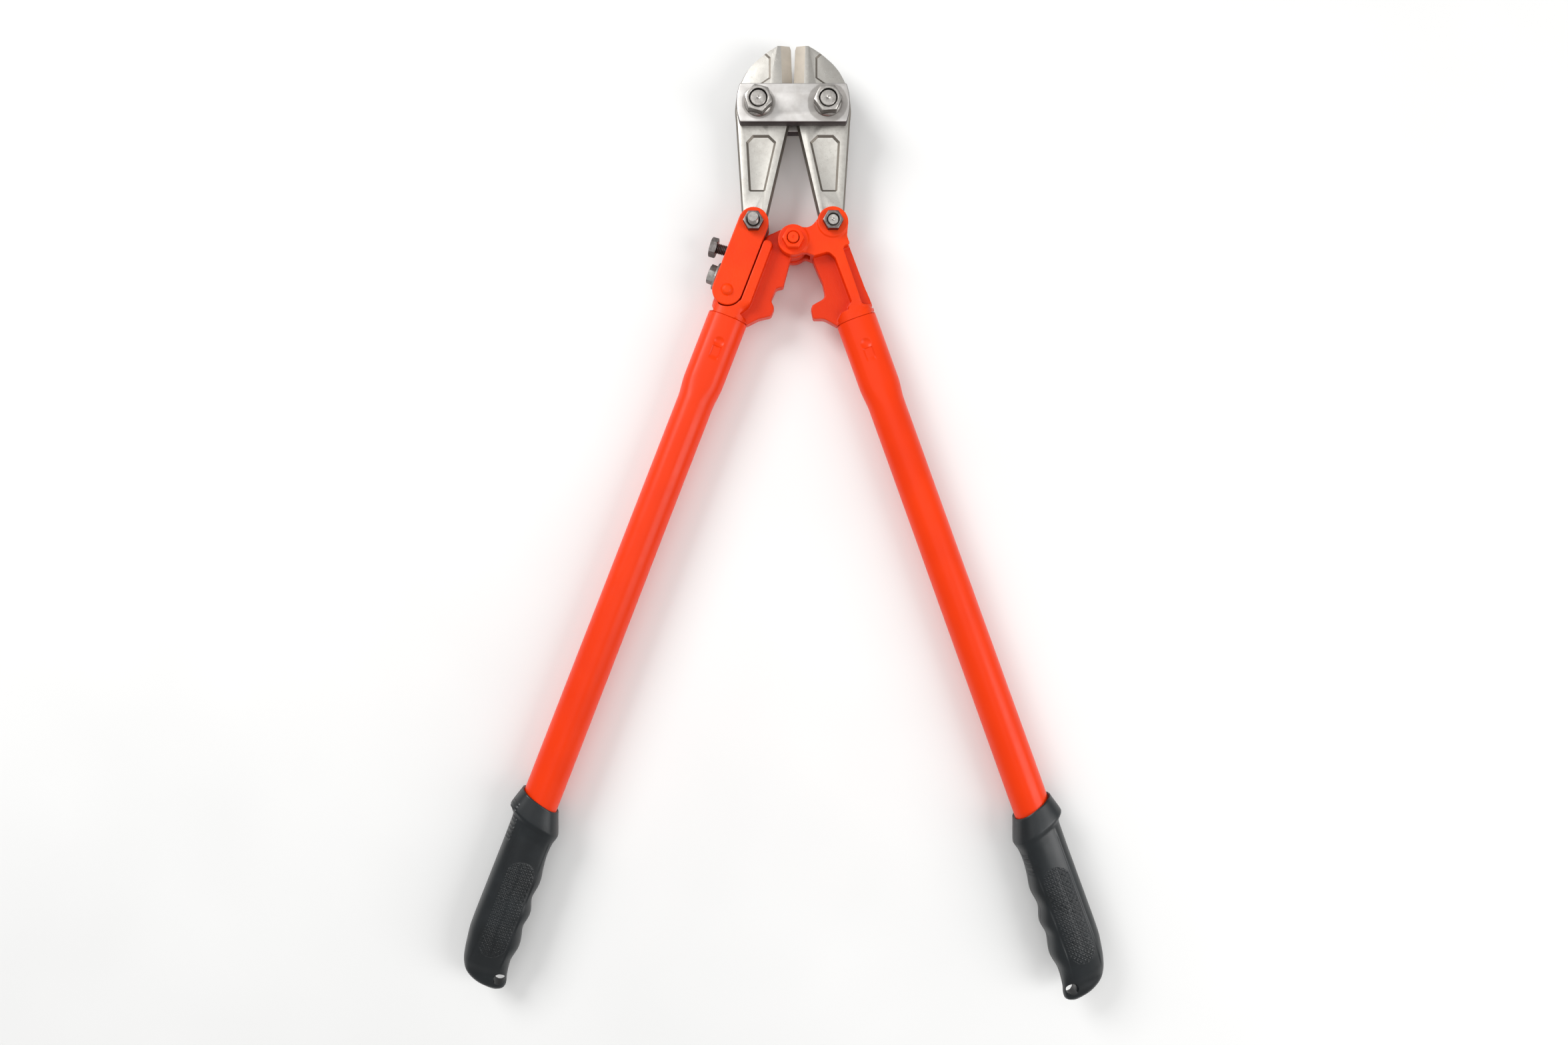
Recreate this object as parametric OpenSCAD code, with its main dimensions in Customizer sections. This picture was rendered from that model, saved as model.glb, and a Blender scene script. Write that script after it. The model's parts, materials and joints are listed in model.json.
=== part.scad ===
// Centre-cut bolt cutters, 750 mm class, lying on their back.
// +X to the right, +Y towards the blades, +Z up through the thickness.
// Each handle is drawn in its own arm frame: x is across the arm, inwards, and
// y runs along the tube axis, away from the centre pin.

/* [Overall] */
// Distance from the centre pin to the end of a grip, along the arm
handle_length = 602; // [480:1:760]
// Angle of the left arm from the centre line
left_angle = 21.25; // [19:0.05:26]
// Angle of the right arm from the centre line
right_angle = 19.8; // [18:0.05:25]
// Distance from the tube axis to the centre pin
arm_offset = 25.3; // [24:0.1:30]

/* [Blades] */
// Distance between the two blade pivots
pivot_gap = 51; // [48:0.5:60]
// Distance from the pivots to the blade tips
jaw_reach = 47; // [38:0.5:60]
// Distance from the pivots down to the toggle bolts
shank_length = 87.5; // [76:0.5:110]
// Distance between the two toggle bolts
toggle_gap = 58.6; // [54:0.1:62]
// Thickness of a blade
blade_t = 12.5; // [9:0.1:16]
// Angle through which a blade turns from rest until the edges meet
closing_angle = 1.96; // [1:0.01:3]
// Radius of the blade's rounded tail
tail_r = 11.2; // [9.5:0.1:11.5]
// Depth of the panels forged into the shanks
panel_depth = 1.6; // [0.5:0.1:3]
// Width of the cutting bevels
bevel_w = 8; // [5:0.5:10]

/* [Head plates] */
// Thickness of a head plate
plate_t = 9.5; // [5:0.1:12]
// Height of a head plate
plate_h = 28.6; // [24:0.1:32]
// Radius of a head plate's round ends, from the head's centre
plate_r = 41.8; // [38:0.1:48]
// Face clearance between a plate and the blades
plate_gap = 0.1; // [0.05:0.01:0.3]

/* [Pivot bolts] */
// Diameter of the pivot bolts
pivot_d = 12; // [10:0.5:14]
// Width across flats of the pivot nuts
pivot_nut_af = 18; // [16:0.5:19]
// Diameter of the pivot nuts' flanges
pivot_flange_d = 21.5; // [20:0.1:24]
// Height of the pivot nuts
pivot_nut_h = 10; // [7:0.1:12]
// Height of the pivot bolts' heads
pivot_head_h = 5.2; // [4:0.1:8]

/* [Toggle and centre bolts] */
// Diameter of the toggle and centre bolts
bolt_d = 8; // [6:0.5:8]
// Width across flats of their heads and nuts
bolt_af = 13; // [11:0.5:14]
// Height of their nuts
nut_h = 6.5; // [5:0.1:8]
// Height of their heads
head_h = 5.3; // [4:0.1:6]
// Length of the left toggle bolt's free end
free_end = 7.5; // [2:0.1:10]
// Radial running clearance of every turning pin
pin_gap = 0.05; // [0.02:0.01:0.1]

/* [Handle castings] */
// Thickness of the castings
casting_t = 28; // [26:0.1:32]
// Thickness of the castings' web
web_t = 11.8; // [8:0.1:12.5]
// Radius of the front ears at the centre pin
ear_r = 11.3; // [10.5:0.1:12]
// How much larger the rear ear is
rear_ear_extra = 1.5; // [0:0.1:1.5]
// Height of the raised discs round the bolts
disc_h = 1.2; // [0.5:0.1:2]
// Distance from the toggle line down to the centre pin
centre_drop = 13.2; // [11:0.1:15]
// Distance from the centre pin to the castings' joint with the tubes
seam_at = 69.5; // [69.5:0.5:80]
// Length of the tang inside a tube
tang_length = 46; // [30:1:60]
// Sideways play that the open centre pivot needs over the travel
open_play = 3.8; // [3.6:0.1:4.2]

/* [Adjuster] */
// Distance from the left toggle bolt to the adjuster rivet
link_length = 53.5; // [53:0.5:54]
// Half width of the link
link_half = 11.2; // [10.5:0.1:11.5]
// Thickness of the wall that joins the link's two straps
link_wall = 4.6; // [3:0.1:5]
// Gap between the link and the casting round it
link_gap = 1; // [0.9:0.05:1.2]
// Diameter of the adjuster rivet
rivet_d = 8; // [6:0.5:9]
// Diameter of the adjusting screw and the lock bolt
screw_d = 8; // [6:0.5:8]
// Height of the adjusting screw above the rivet, along the link
screw_up = 29; // [27:0.5:31]
// Height of the lock bolt above the rivet, along the link
lock_up = 8.6; // [8.5:0.1:10]
// Tilt of the adjusting screw against the link
screw_tilt = 5; // [0:0.5:6]
// Length of screw thread that shows outside the link
screw_out = 8.6; // [4:0.1:12]
// Diameter of the lock bolt's washer
washer_d = 20.7; // [18:0.1:21]
// Thickness of the lock bolt's washer
washer_t = 1.6; // [1:0.1:2]

/* [Tubes] */
// Diameter of the handle tubes
tube_d = 27.6; // [25:0.1:29]
// Wall of the handle tubes
tube_wall = 1.8; // [1.2:0.1:2.5]
// Width of the flattened upper end of a tube
swage_w = 30.3; // [30:0.1:31]
// Thickness of the flattened upper end of a tube
swage_t = 25.6; // [24:0.1:27]
// Length of the flattened upper end of a tube
swage_length = 50; // [48:1:60]

/* [Grips] */
// Length of a grip
grip_length = 151; // [130:1:180]
// Distance from the tube axis to the grip's back
grip_back = 15.2; // [15.2:0.1:18]
// Thickness of a grip
grip_t = 33; // [31:0.5:38]
// Depth of the finger grooves
groove_depth = 1.8; // [0.5:0.1:3]
// Diameter of the hanging hole
hang_d = 8.6; // [6:0.1:10]
// Thickness of the grip's tail at the hanging hole
tail_t = 16; // [14:0.5:20]
// Roll of the left grip about its tube
left_roll = 12; // [0:1:15]
// Roll of the right grip about its tube
right_roll = 8; // [0:1:15]

/* [Hidden] */
$fn = 64;
eps = 0.01;

blade_half = blade_t / 2;
web_half = web_t / 2;
casting_half = casting_t / 2;
ear_inner = blade_half + plate_gap; // inner faces of every ear and strap
plate_outer = ear_inner + plate_t;
disc_top = casting_half + disc_h;
centre_y = -(shank_length + centre_drop);

pivot = [pivot_gap / 2, 0];
toggle = [toggle_gap / 2, -shank_length];
tail_clear = 1.4; // from the blade's tail to the castings round it
fork_floor = 13.6; // where the fork between the ears ends, along the arm

// The toggle bolt in an arm frame, for an arm at the given angle
function toggle_in_arm(angle) =
    let (x = toggle.x, y = centre_drop)
    [arm_offset - x * cos(angle) - y * sin(angle), x * sin(angle) - y * cos(angle)];

left_toggle = toggle_in_arm(left_angle);
right_toggle = toggle_in_arm(right_angle);
pin = [arm_offset, 0];
rivet = left_toggle + [0, link_length];
seam_half = swage_w / 2;
rib_u = left_toggle.x + link_half + link_gap; // the left rib's face beside the link
web_edge = left_toggle.x - link_half + link_wall + link_gap; // web inside the link

// How far a grip's back reaches sideways, and a grip's end reaches down
back_end = handle_length - 28;
function reach_out(angle) = sin(angle) * back_end + cos(angle) * (arm_offset + grip_back);
function reach_down(angle) = centre_y - cos(angle) * handle_length;

// The head's centre in the part's frame, which has its origin under the middle
head = [(reach_out(left_angle) - reach_out(right_angle)) / 2,
    -(jaw_reach + min(reach_down(left_angle), reach_down(right_angle))) / 2,
    plate_outer + pivot_head_h];

// Points of a corner [x, y, r] rounded to its radius r
function unit(v) = v / norm(v);
function rounded_corner(p, c, q, steps = 8) =
    c[2] == 0 ? [[c.x, c.y]] :
    let (a = unit([p.x - c.x, p.y - c.y]), b = unit([q.x - c.x, q.y - c.y]),
        half = acos(a * b) / 2,
        mid = [c.x, c.y] + unit(a + b) * c[2] / sin(half),
        from = [c.x, c.y] + a * c[2] / tan(half) - mid,
        to = [c.x, c.y] + b * c[2] / tan(half) - mid,
        start = atan2(from.y, from.x),
        sweep = (atan2(to.y, to.x) - start + 540) % 360 - 180)
    [for (i = [0 : steps]) mid + c[2] * [cos(start + sweep * i / steps),
        sin(start + sweep * i / steps)]];

function outline(corners) = let (n = len(corners))
    [for (i = [0 : n - 1]) each rounded_corner(corners[(i + n - 1) % n], corners[i],
        corners[(i + 1) % n])];

module placed() {
    translate(head) children();
}

module head_side(side) {
    placed() mirror([side < 0 ? 1 : 0, 0, 0]) children();
}

module in_arm(side) {
    head_side(side) translate([0, centre_y, 0])
        rotate(180 + (side < 0 ? left_angle : right_angle))
            translate([-arm_offset, 0, 0]) children();
}

module slab(half) {
    translate([0, 0, -half]) linear_extrude(2 * half) children();
}

module upright(r, from, to) {
    translate([0, 0, from]) cylinder(r = r, h = to - from);
}

module hexagon(af, from, to, turn = 0) {
    rotate(turn) translate([0, 0, from])
        cylinder(d = af / cos(30), h = to - from, $fn = 6);
}

// ---- head ----

edge_gap = 0.03; // from each edge to the centre line when the jaws are shut
bevel_from = 14; // where the cutting edges start, above the pivots

// The meeting edge of a blade at height y, with the blade at rest
function edge_x(y) = pivot.x * (1 - cos(closing_angle)) + y * sin(closing_angle) + edge_gap;

module blade_outline() {
    top = jaw_reach;
    // the crown, from the tip down past the pivot, out from the pivot's axis
    crown = [[-13.5, top], [-12.5, top - 0.8], [-9.5, top - 2.5], [-4.5, top - 5.8], [0.5, top - 9.8],
        [5.5, top - 14.4], [9.5, top - 19.5], [13.4, 20], [15.7, 13.8], [17, 8], [17.7, 2],
        [17.9, -3], [17.3, -10]];
    polygon(concat(
        [[edge_x(top) + 0.9, top]],
        [for (p = crown) pivot + p],
        [toggle + [8.4, 14], toggle + [9.4, 3], toggle + [-10, 3]],
        [toggle + [-tail_r, 8], [pivot.x - 21.4, -18], [2.1, -9], [2.1, 9]],
        [[edge_x(bevel_from), bevel_from], [edge_x(top - 2.6), top - 2.6]]));
}

// What the two cutting bevels take off, along the edge
module bevels() {
    land = 0.3;
    translate([edge_x(0), bevel_from, 0]) rotate(-closing_angle) rotate([-90, 0, 0])
        linear_extrude(jaw_reach)
            for (z = [-1, 1])
                polygon([[-3, z * land], [0, z * land], [bevel_w, z * (blade_half + eps)],
                    [-3, z * (blade_half + eps)]]);
}

module panel_outline() {
    low = -shank_length + 24.5;
    polygon([[toggle.x + 3.7, low + 1], [toggle.x + 2.5, low], [toggle.x - 7.5, low],
        [toggle.x - 8.7, low + 1], [pivot.x - 13, -26], [pivot.x - 7.5, -20.5],
        [pivot.x + 4.5, -20.5], [pivot.x + 9.5, -26]]);
}

module blade(side) {
    head_side(side) difference() {
        union() {
            slab(blade_half) blade_outline();
            translate(toggle) upright(tail_r, -blade_half, blade_half);
        }
        for (z = [-1, 1])
            translate([0, 0, z * (blade_half - panel_depth / 2)])
                slab(panel_depth / 2 + eps) panel_outline();
        bevels();
        translate(pivot) upright(pivot_d / 2 + pin_gap, -blade_half - 1, blade_half + 1);
        translate(toggle) upright(bolt_d / 2 + pin_gap, -blade_half - 1, blade_half + 1);
    }
}

module blade_left() { color("gainsboro") blade(-1); }
module blade_right() { color("gainsboro") blade(1); }

module head_plate(from, to) {
    color("whitesmoke") placed() difference() {
        translate([0, 0, from]) linear_extrude(to - from) intersection() {
            circle(r = plate_r);
            square([3 * plate_r, plate_h], center = true);
        }
        for (x = [-1, 1])
            translate([x * pivot.x, 0]) upright(pivot_d / 2 + pin_gap, from - 1, to + 1);
    }
}

module head_plate_front() { head_plate(ear_inner, plate_outer); }
module head_plate_rear() { head_plate(-plate_outer, -ear_inner); }

// A bolt with its head at the back, from the head's seat to its end
module bolt(d, af, head_height, seat, end, turn = 0) {
    upright(d / 2, seat - eps, end);
    hexagon(af, seat - head_height, seat, turn);
}

module nut(d, af, seat, top, turn = 0) {
    difference() {
        hexagon(af, seat, top, turn);
        upright(d / 2 + pin_gap, seat - 1, top + 1);
    }
}

module pivot_bolt(side) {
    color("silver") head_side(side) translate(pivot)
        bolt(pivot_d, pivot_nut_af, pivot_head_h, -plate_outer, plate_outer + pivot_nut_h - 0.4);
}

module pivot_bolt_left() { pivot_bolt(-1); }
module pivot_bolt_right() { pivot_bolt(1); }

module pivot_nut(side, turn) {
    color("silver") head_side(side) translate(pivot) difference() {
        union() {
            hexagon(pivot_nut_af, plate_outer, plate_outer + pivot_nut_h, turn);
            upright(pivot_flange_d / 2, plate_outer, plate_outer + 1.8);
        }
        upright(pivot_d / 2 + pin_gap, plate_outer - 1, plate_outer + pivot_nut_h + 1);
    }
}

module pivot_nut_left() { pivot_nut(-1, 10); }
module pivot_nut_right() { pivot_nut(1, 25); }

// ---- toggles and centre pin ----

module toggle_bolt(side, seat, end) {
    color("silver") head_side(side) translate(toggle)
        bolt(bolt_d, bolt_af, head_h, -seat, end, 30);
}

module toggle_bolt_left() {
    toggle_bolt(-1, casting_half, casting_half + nut_h + free_end);
}
module toggle_bolt_right() {
    toggle_bolt(1, disc_top, disc_top + nut_h - 0.3);
}
module toggle_nut_left() {
    color("silver") head_side(-1) translate(toggle)
        nut(bolt_d, bolt_af, casting_half, casting_half + nut_h, 30);
}
module toggle_nut_right() {
    color("silver") head_side(1) translate(toggle)
        nut(bolt_d, bolt_af, disc_top, disc_top + nut_h, 30);
}

module centre_bolt() {
    color("orangered") placed() translate([0, centre_y])
        bolt(bolt_d, bolt_af + 1, head_h, -disc_top, disc_top + nut_h + 1, 30);
}
module centre_nut() {
    color("orangered") placed() translate([0, centre_y])
        nut(bolt_d, bolt_af + 1, disc_top, disc_top + nut_h, 30);
}

// ---- adjuster on the left arm ----

module link_shape() {
    translate([left_toggle.x - link_half, left_toggle.y])
        square([2 * link_half, link_length]);
    for (end = [left_toggle, rivet])
        translate(end) circle(r = link_half);
}

// A frame on the link's outer face, with x outwards along a screw
module on_screw(up, tilt = 0) {
    in_arm(-1) translate([rivet.x - link_half, rivet.y - up, 0])
        rotate(180 - tilt) children();
}

module lying(r, from, to) {
    translate([from, 0, 0]) rotate([0, 90, 0]) cylinder(r = r, h = to - from);
}

module lying_hexagon(af, from, to) {
    translate([from, 0, 0]) rotate([0, 90, 0])
        cylinder(d = af / cos(30), h = to - from, $fn = 6);
}

wall_top = link_length - tail_r - tail_clear - 2; // up the link, over the rivet

// The space between the straps, beside and past the ends of the wall
module link_mouth() {
    reach = 3 * link_half;
    translate([rivet.x - link_half + link_wall, left_toggle.y - reach])
        square([reach, link_length + 2 * reach]);
    translate([rivet.x - reach, left_toggle.y - reach])
        square([2 * reach, link_length - wall_top + reach]);
    translate([rivet.x - reach, rivet.y + 0.5])
        square([2 * reach, reach]);
}

module adjuster_link() {
    color("orangered") difference() {
        in_arm(-1) {
            difference() {
                slab(casting_half) link_shape();
                slab(ear_inner) link_mouth();
            }
        }
        in_arm(-1) {
            translate(left_toggle) upright(bolt_d / 2 + pin_gap, -casting_t, casting_t);
            translate(rivet) upright(rivet_d / 2, -casting_t, casting_t);
        }
        on_screw(screw_up, screw_tilt) lying(screw_d / 2 + pin_gap, -link_half, link_half);
        on_screw(lock_up) lying(screw_d / 2 + 1, -link_half, link_half);
    }
}

module link_rivet() {
    color("orangered") in_arm(-1) translate(rivet) {
        upright(rivet_d / 2, -casting_half - eps, casting_half + eps);
        for (z = [0, 180])
            rotate([z, 0, 0]) translate([0, 0, casting_half])
                cylinder(r1 = rivet_d / 2 + 0.6, r2 = rivet_d / 2 - 1, h = 2.6);
    }
}

// how far the adjusting screw stands inside the link, short of the casting it bears on
screw_proud = 0.2;
module adjusting_screw() {
    color("dimgray") on_screw(screw_up, screw_tilt) {
        lying(screw_d / 2, -link_wall - screw_proud, screw_out + eps);
        lying_hexagon(bolt_af, screw_out, screw_out + head_h);
    }
}

lock_seat = link_gap / 2 + washer_t + 0.1;
module lock_bolt() {
    color("silver") on_screw(lock_up) {
        lying(screw_d / 2, -link_half - 3, lock_seat + eps);
        lying_hexagon(bolt_af, lock_seat, lock_seat + head_h);
    }
}

module lock_washer() {
    color("silver") on_screw(lock_up) difference() {
        lying(washer_d / 2, link_gap / 2, link_gap / 2 + washer_t);
        lying(screw_d / 2 + 0.3, -1, 4);
    }
}

// ---- handle castings ----

module seam_block() {
    // the base, flush with the tube, and the tang inside it
    translate([0, seam_at + tang_length / 2, 0]) rotate([90, 0, 0])
        translate([0, 0, -tang_length / 2 - eps]) linear_extrude(tang_length + 2 * eps)
            oval(swage_w - 2 * tube_wall - 0.2, swage_t - 2 * tube_wall - 0.2);
}

module oval(w, t) {
    square([w - t, t], center = true);
    for (x = [-1, 1])
        translate([x * (w - t) / 2, 0]) circle(d = t);
}

module left_raised() {
    difference() {
        polygon(outline([[rib_u, left_toggle.y + 8.8, 2.4], [rib_u + 6.7, left_toggle.y + 8.3, 3],
            [rib_u + 7.2, 57, 8], [5, seam_at, 0], [-seam_half, seam_at, 0],
            [-seam_half, rivet.y + 4, 2], [rib_u, rivet.y + 4, 0]]));
        translate(rivet) circle(r = link_half + link_gap);
    }
}

module left_web() {
    difference() {
        polygon(outline([[web_edge, rivet.y - wall_top - 1, 2], [rib_u - 2, rivet.y - wall_top - 1, 2],
            [rib_u + 0.7, left_toggle.y + 3.4, 1], [13, -5.4, 4], [pin.x, pin.y - 11, 0],
            [pin.x + 2.4, 9, 0], [pin.x + 5.2, 33.4, 1.2], [pin.x + 0.7, 36.4, 2.5],
            [pin.x + 0.2, 46, 4], [pin.x + 4.6, 50.5, 2.5], [pin.x + 4.7, 57, 3],
            [22, 62.4, 9], [seam_half, seam_at + 0.5, 0], [seam_half, seam_at, 0],
            [-seam_half, seam_at, 0], [-seam_half, rivet.y + 5.4, 2], [web_edge, rivet.y + 4, 1]]));
        translate(left_toggle) circle(r = tail_r + tail_clear);
    }
    translate(pin) circle(r = ear_r + 0.4);
}

module casting_left() {
    color("orangered") difference() {
        in_arm(-1) {
            slab(casting_half - 0.4) left_raised();
            slab(web_half) left_web();
            slab(swage_t / 2 - 1) base_shape();
            seam_block();
        }
        in_arm(-1) {
            translate(rivet) upright(rivet_d / 2 + pin_gap, -casting_t, casting_t);
            // play for the open pivot, towards the right when the handles move
            rotate(left_angle) translate([pin.x * cos(left_angle) + open_play * 0.42,
                -pin.x * sin(left_angle), 0])
                upright(bolt_d / 2 + open_play * 0.58 + 1.4, -casting_t, casting_t);
        }
        on_screw(lock_up) lying(screw_d / 2 + pin_gap, -2 * link_half + 2, link_half);
    }
}

module base_shape() {
    difference() {
        polygon(outline([[-seam_half, seam_at - 6, 0], [rib_u, seam_at - 6, 0],
            [seam_half - 3, seam_at - 3, 0], [seam_half, seam_at, 0], [-seam_half, seam_at, 0]]));
        translate(rivet) circle(r = link_half + link_gap);
    }
}

module right_raised(extra) {
    t = right_toggle;
    polygon(outline([[pin.x, -8, 0], [17, -7.4, 2], [10.6, -4, 8], [t.x + 8, t.y - 7, 0],
        [t.x, t.y, 0], [t.x - 9.6, t.y + 6.4, 0],
        [-13.2, t.y + 13, 5], [-13.2, t.y + 19.4, 1], [-7.3, t.y + 19.4, 2],
        [-6.8, 61.5, 2], [-seam_half, 63.4, 1], [-seam_half, seam_at, 0],
        [seam_half, seam_at, 0], [13, 65.6, 3], [9.4, 62.3, 2], [3.6, 62.2, 1],
        [3.2, 59.8, 1], [0, 57.4, 1], [0.4, 23, 4], [3.6, 17, 4], [14.6, 16.2, 2],
        [19, 12.2, 3], [pin.x, 10.5, 0]]));
    translate(pin) circle(r = ear_r + extra);
    translate(t) circle(r = ear_r + 0.2);
}

module right_web() {
    polygon(outline([[-13.2, fork_floor, 0], [pin.x - 10, fork_floor, 0], [pin.x - 9.4, 20, 3],
        [14.7, 36, 10], [16.4, 47, 5], [27.6, 48.8, 1.5], [29.4, 51, 1], [30.4, 58.6, 1],
        [22.7, 61.4, 8], [seam_half, seam_at + 0.5, 0], [seam_half, seam_at, 0],
        [-seam_half, seam_at, 0], [-seam_half + 1.5, 50, 12]]));
}

module casting_right() {
    color("orangered") in_arm(1) difference() {
        union() {
            for (z = [-1, 1])
                translate([0, 0, z * casting_half / 2])
                    slab(casting_half / 2 + eps) right_raised(z < 0 ? rear_ear_extra : 0);
            slab(web_half) right_web();
            seam_block();
            for (spot = [pin, right_toggle])
                translate(spot) upright(ear_r, -disc_top, disc_top);
        }
        translate([-60, -60, -ear_inner]) cube([160, 60 + fork_floor, 2 * ear_inner]);
        translate(pin) upright(bolt_d / 2 + pin_gap, -casting_t, casting_t);
        translate(right_toggle) upright(bolt_d / 2 + pin_gap, -casting_t, casting_t);
    }
}

thrust_t = (ear_inner - web_half) * 0.7; // fills most of the gap beside the tongue
module thrust_washers() {
    color("silver") placed() translate([0, centre_y])
        for (z = [-1, 1])
            difference() {
                translate([0, 0, z > 0 ? ear_inner - thrust_t : -ear_inner])
                    cylinder(r = ear_r - 0.4, h = thrust_t);
                upright(bolt_d / 2 + pin_gap, -casting_half, casting_half);
            }
}

// ---- tubes and grips ----

tube_end = handle_length - 18;
round_from = seam_at + swage_length + 12;
module tube_solid(inset) {
    spare = inset > 0 ? 1 : 0;
    w = swage_w - 2 * inset;
    t = swage_t - 2 * inset;
    translate([0, seam_at + swage_length, 0]) rotate([90, 0, 0])
        linear_extrude(swage_length + spare) oval(w, t);
    hull() {
        translate([0, seam_at + swage_length, 0]) rotate([90, 0, 0])
            linear_extrude(eps) oval(w, t, $fn = 32);
        translate([0, round_from, 0]) rotate([90, 0, 0])
            linear_extrude(eps) circle(d = tube_d - 2 * inset, $fn = 32);
    }
    translate([0, tube_end + spare, 0]) rotate([90, 0, 0])
        cylinder(d = tube_d - 2 * inset, h = tube_end - round_from + spare + eps);
}

module tube(side) {
    color("orangered") in_arm(side) difference() {
        tube_solid(0);
        tube_solid(tube_wall);
    }
}

module tube_left() { tube(-1); }
module tube_right() { tube(1); }

grip_top = handle_length - grip_length;
hang = [19.2, handle_length - 8.6]; // place of the hanging hole

// The grip seen from the front, with a collar, three finger grooves and a tail
module grip_outline() {
    swell = 22.6; // inner side, over the finger grooves
    waves = [for (i = [0 : 36]) let (v = grip_top + 30 + i * (grip_length - 46) / 36)
        [swell - 1.3 + 2.2 * i / 36 - groove_depth / 2
            + groove_depth / 2 * cos((v - grip_top - 65) * 360 / 25), v]];
    polygon(concat(
        outline([[hang.x + 6.2, handle_length - 5, 3], [hang.x + 3, handle_length, 3],
            [4, handle_length, 14], [-grip_back + 3, handle_length - 12, 8],
            [-grip_back, handle_length - 28, 12], [-grip_back, grip_top + 25, 3],
            [-grip_back - 4.2, grip_top + 15, 1.2], [-grip_back + 0.4, grip_top, 1],
            [seam_half - 0.3, grip_top + 9, 1], [swell - 0.4, grip_top + 28, 1]]),
        waves));
}

module grip_section() {
    // across the grip, x inwards and y through the thickness
    polygon(outline([[-grip_back - 5, -grip_t / 2, 13], [27, -grip_t / 2, 13],
        [27, grip_t / 2, 13], [-grip_back - 5, grip_t / 2, 13]]));
}

module grip_taper() {
    // along the grip, x along the arm and y through the thickness
    polygon([[grip_top - 1, -grip_t / 2], [handle_length - 34, -grip_t / 2],
        [hang.y - 8, -tail_t / 2], [handle_length + 1, -tail_t / 2],
        [handle_length + 1, tail_t / 2], [hang.y - 8, tail_t / 2],
        [handle_length - 34, grip_t / 2], [grip_top - 1, grip_t / 2]]);
}

module grip(side, roll) {
    color("darkslategray") in_arm(side) rotate([0, roll, 0]) difference() {
        intersection() {
            slab(grip_t) grip_outline();
            translate([0, handle_length + 2, 0]) rotate([90, 0, 0])
                linear_extrude(grip_length + 4) grip_section();
            rotate([90, 0, 90]) translate([0, 0, -40]) linear_extrude(80) grip_taper();
        }
        translate([0, tube_end + 0.2, 0]) rotate([90, 0, 0])
            cylinder(d = tube_d + 2 * pin_gap, h = grip_length + 20);
        translate(hang) upright(hang_d / 2, -grip_t, grip_t);
    }
}

module grip_left() { grip(-1, left_roll); }
module grip_right() { grip(1, -right_roll); }

blade_left();
blade_right();
head_plate_front();
head_plate_rear();
pivot_bolt_left();
pivot_bolt_right();
pivot_nut_left();
pivot_nut_right();
toggle_bolt_left();
toggle_bolt_right();
toggle_nut_left();
toggle_nut_right();
adjuster_link();
link_rivet();
adjusting_screw();
lock_bolt();
lock_washer();
casting_left();
casting_right();
centre_bolt();
centre_nut();
thrust_washers();
tube_left();
tube_right();
grip_left();
grip_right();
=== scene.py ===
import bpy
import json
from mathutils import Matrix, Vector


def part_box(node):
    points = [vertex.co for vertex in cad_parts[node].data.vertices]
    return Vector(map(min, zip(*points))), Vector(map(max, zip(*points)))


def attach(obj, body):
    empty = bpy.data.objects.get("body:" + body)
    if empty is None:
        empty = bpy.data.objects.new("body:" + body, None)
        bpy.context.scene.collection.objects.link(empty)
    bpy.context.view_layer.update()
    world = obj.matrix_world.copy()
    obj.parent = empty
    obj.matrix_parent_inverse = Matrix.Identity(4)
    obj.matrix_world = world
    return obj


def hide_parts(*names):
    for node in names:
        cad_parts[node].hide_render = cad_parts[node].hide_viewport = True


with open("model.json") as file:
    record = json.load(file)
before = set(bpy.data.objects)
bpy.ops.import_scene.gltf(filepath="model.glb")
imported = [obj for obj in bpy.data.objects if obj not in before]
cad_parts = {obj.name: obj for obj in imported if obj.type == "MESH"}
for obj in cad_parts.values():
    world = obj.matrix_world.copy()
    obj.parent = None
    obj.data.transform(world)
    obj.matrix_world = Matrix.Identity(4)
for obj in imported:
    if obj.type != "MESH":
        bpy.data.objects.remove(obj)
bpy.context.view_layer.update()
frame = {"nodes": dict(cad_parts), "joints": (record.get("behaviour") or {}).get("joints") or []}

import json
import math
import bmesh
import bpy
from mathutils import Matrix, Vector

print("frame loaded, building the looks")

# places come from the joints: the Vectors are in metres, the plain numbers in mm
joints = {joint["name"]: Vector(joint["pos_m"]) for joint in frame["joints"]}
headCentre = (joints["blade_left_pivot"] + joints["blade_right_pivot"]) / 2
toggleDrop = (headCentre.y - joints["handle_left_swing"].y) * 1000  # from the pivots down to the toggles
toggleX = (joints["handle_right_swing"].x - headCentre.x) * 1000
pivotX = (joints["blade_right_pivot"].x - headCentre.x) * 1000
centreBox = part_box("centre_nut")
centreY = ((centreBox[0].y + centreBox[1].y) / 2 - headCentre.y) * 1000
# each handle's tube stands beside the centre pin by the offset and leans out by an angle
arms = {"offset": 25.3, "leftAngle": 21.25, "rightAngle": 19.8, "bladeHalf": 6.25, "earFace": 14.0}


def headFrame(side=1):
    # mm about the head's centre, mirrored for the left side
    return Matrix.Translation(headCentre) @ Matrix.Diagonal((0.001 * side, 0.001, 0.001, 1))


def armFrame(side):
    # mm along a handle: y runs down the tube from beside the centre pin, x points to the other handle
    angle = arms["leftAngle"] if side < 0 else arms["rightAngle"]
    centrePin = headFrame(side) @ Matrix.Translation((0, centreY, 0))
    turned = Matrix.Rotation(math.radians(180 + angle), 4, "Z")
    return centrePin @ turned @ Matrix.Translation((-arms["offset"], 0, 0))


def smoothStep(low, high, value):
    t = min(1, max(0, (value - low) / (high - low)))
    return t * t * (3 - 2 * t)


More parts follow.
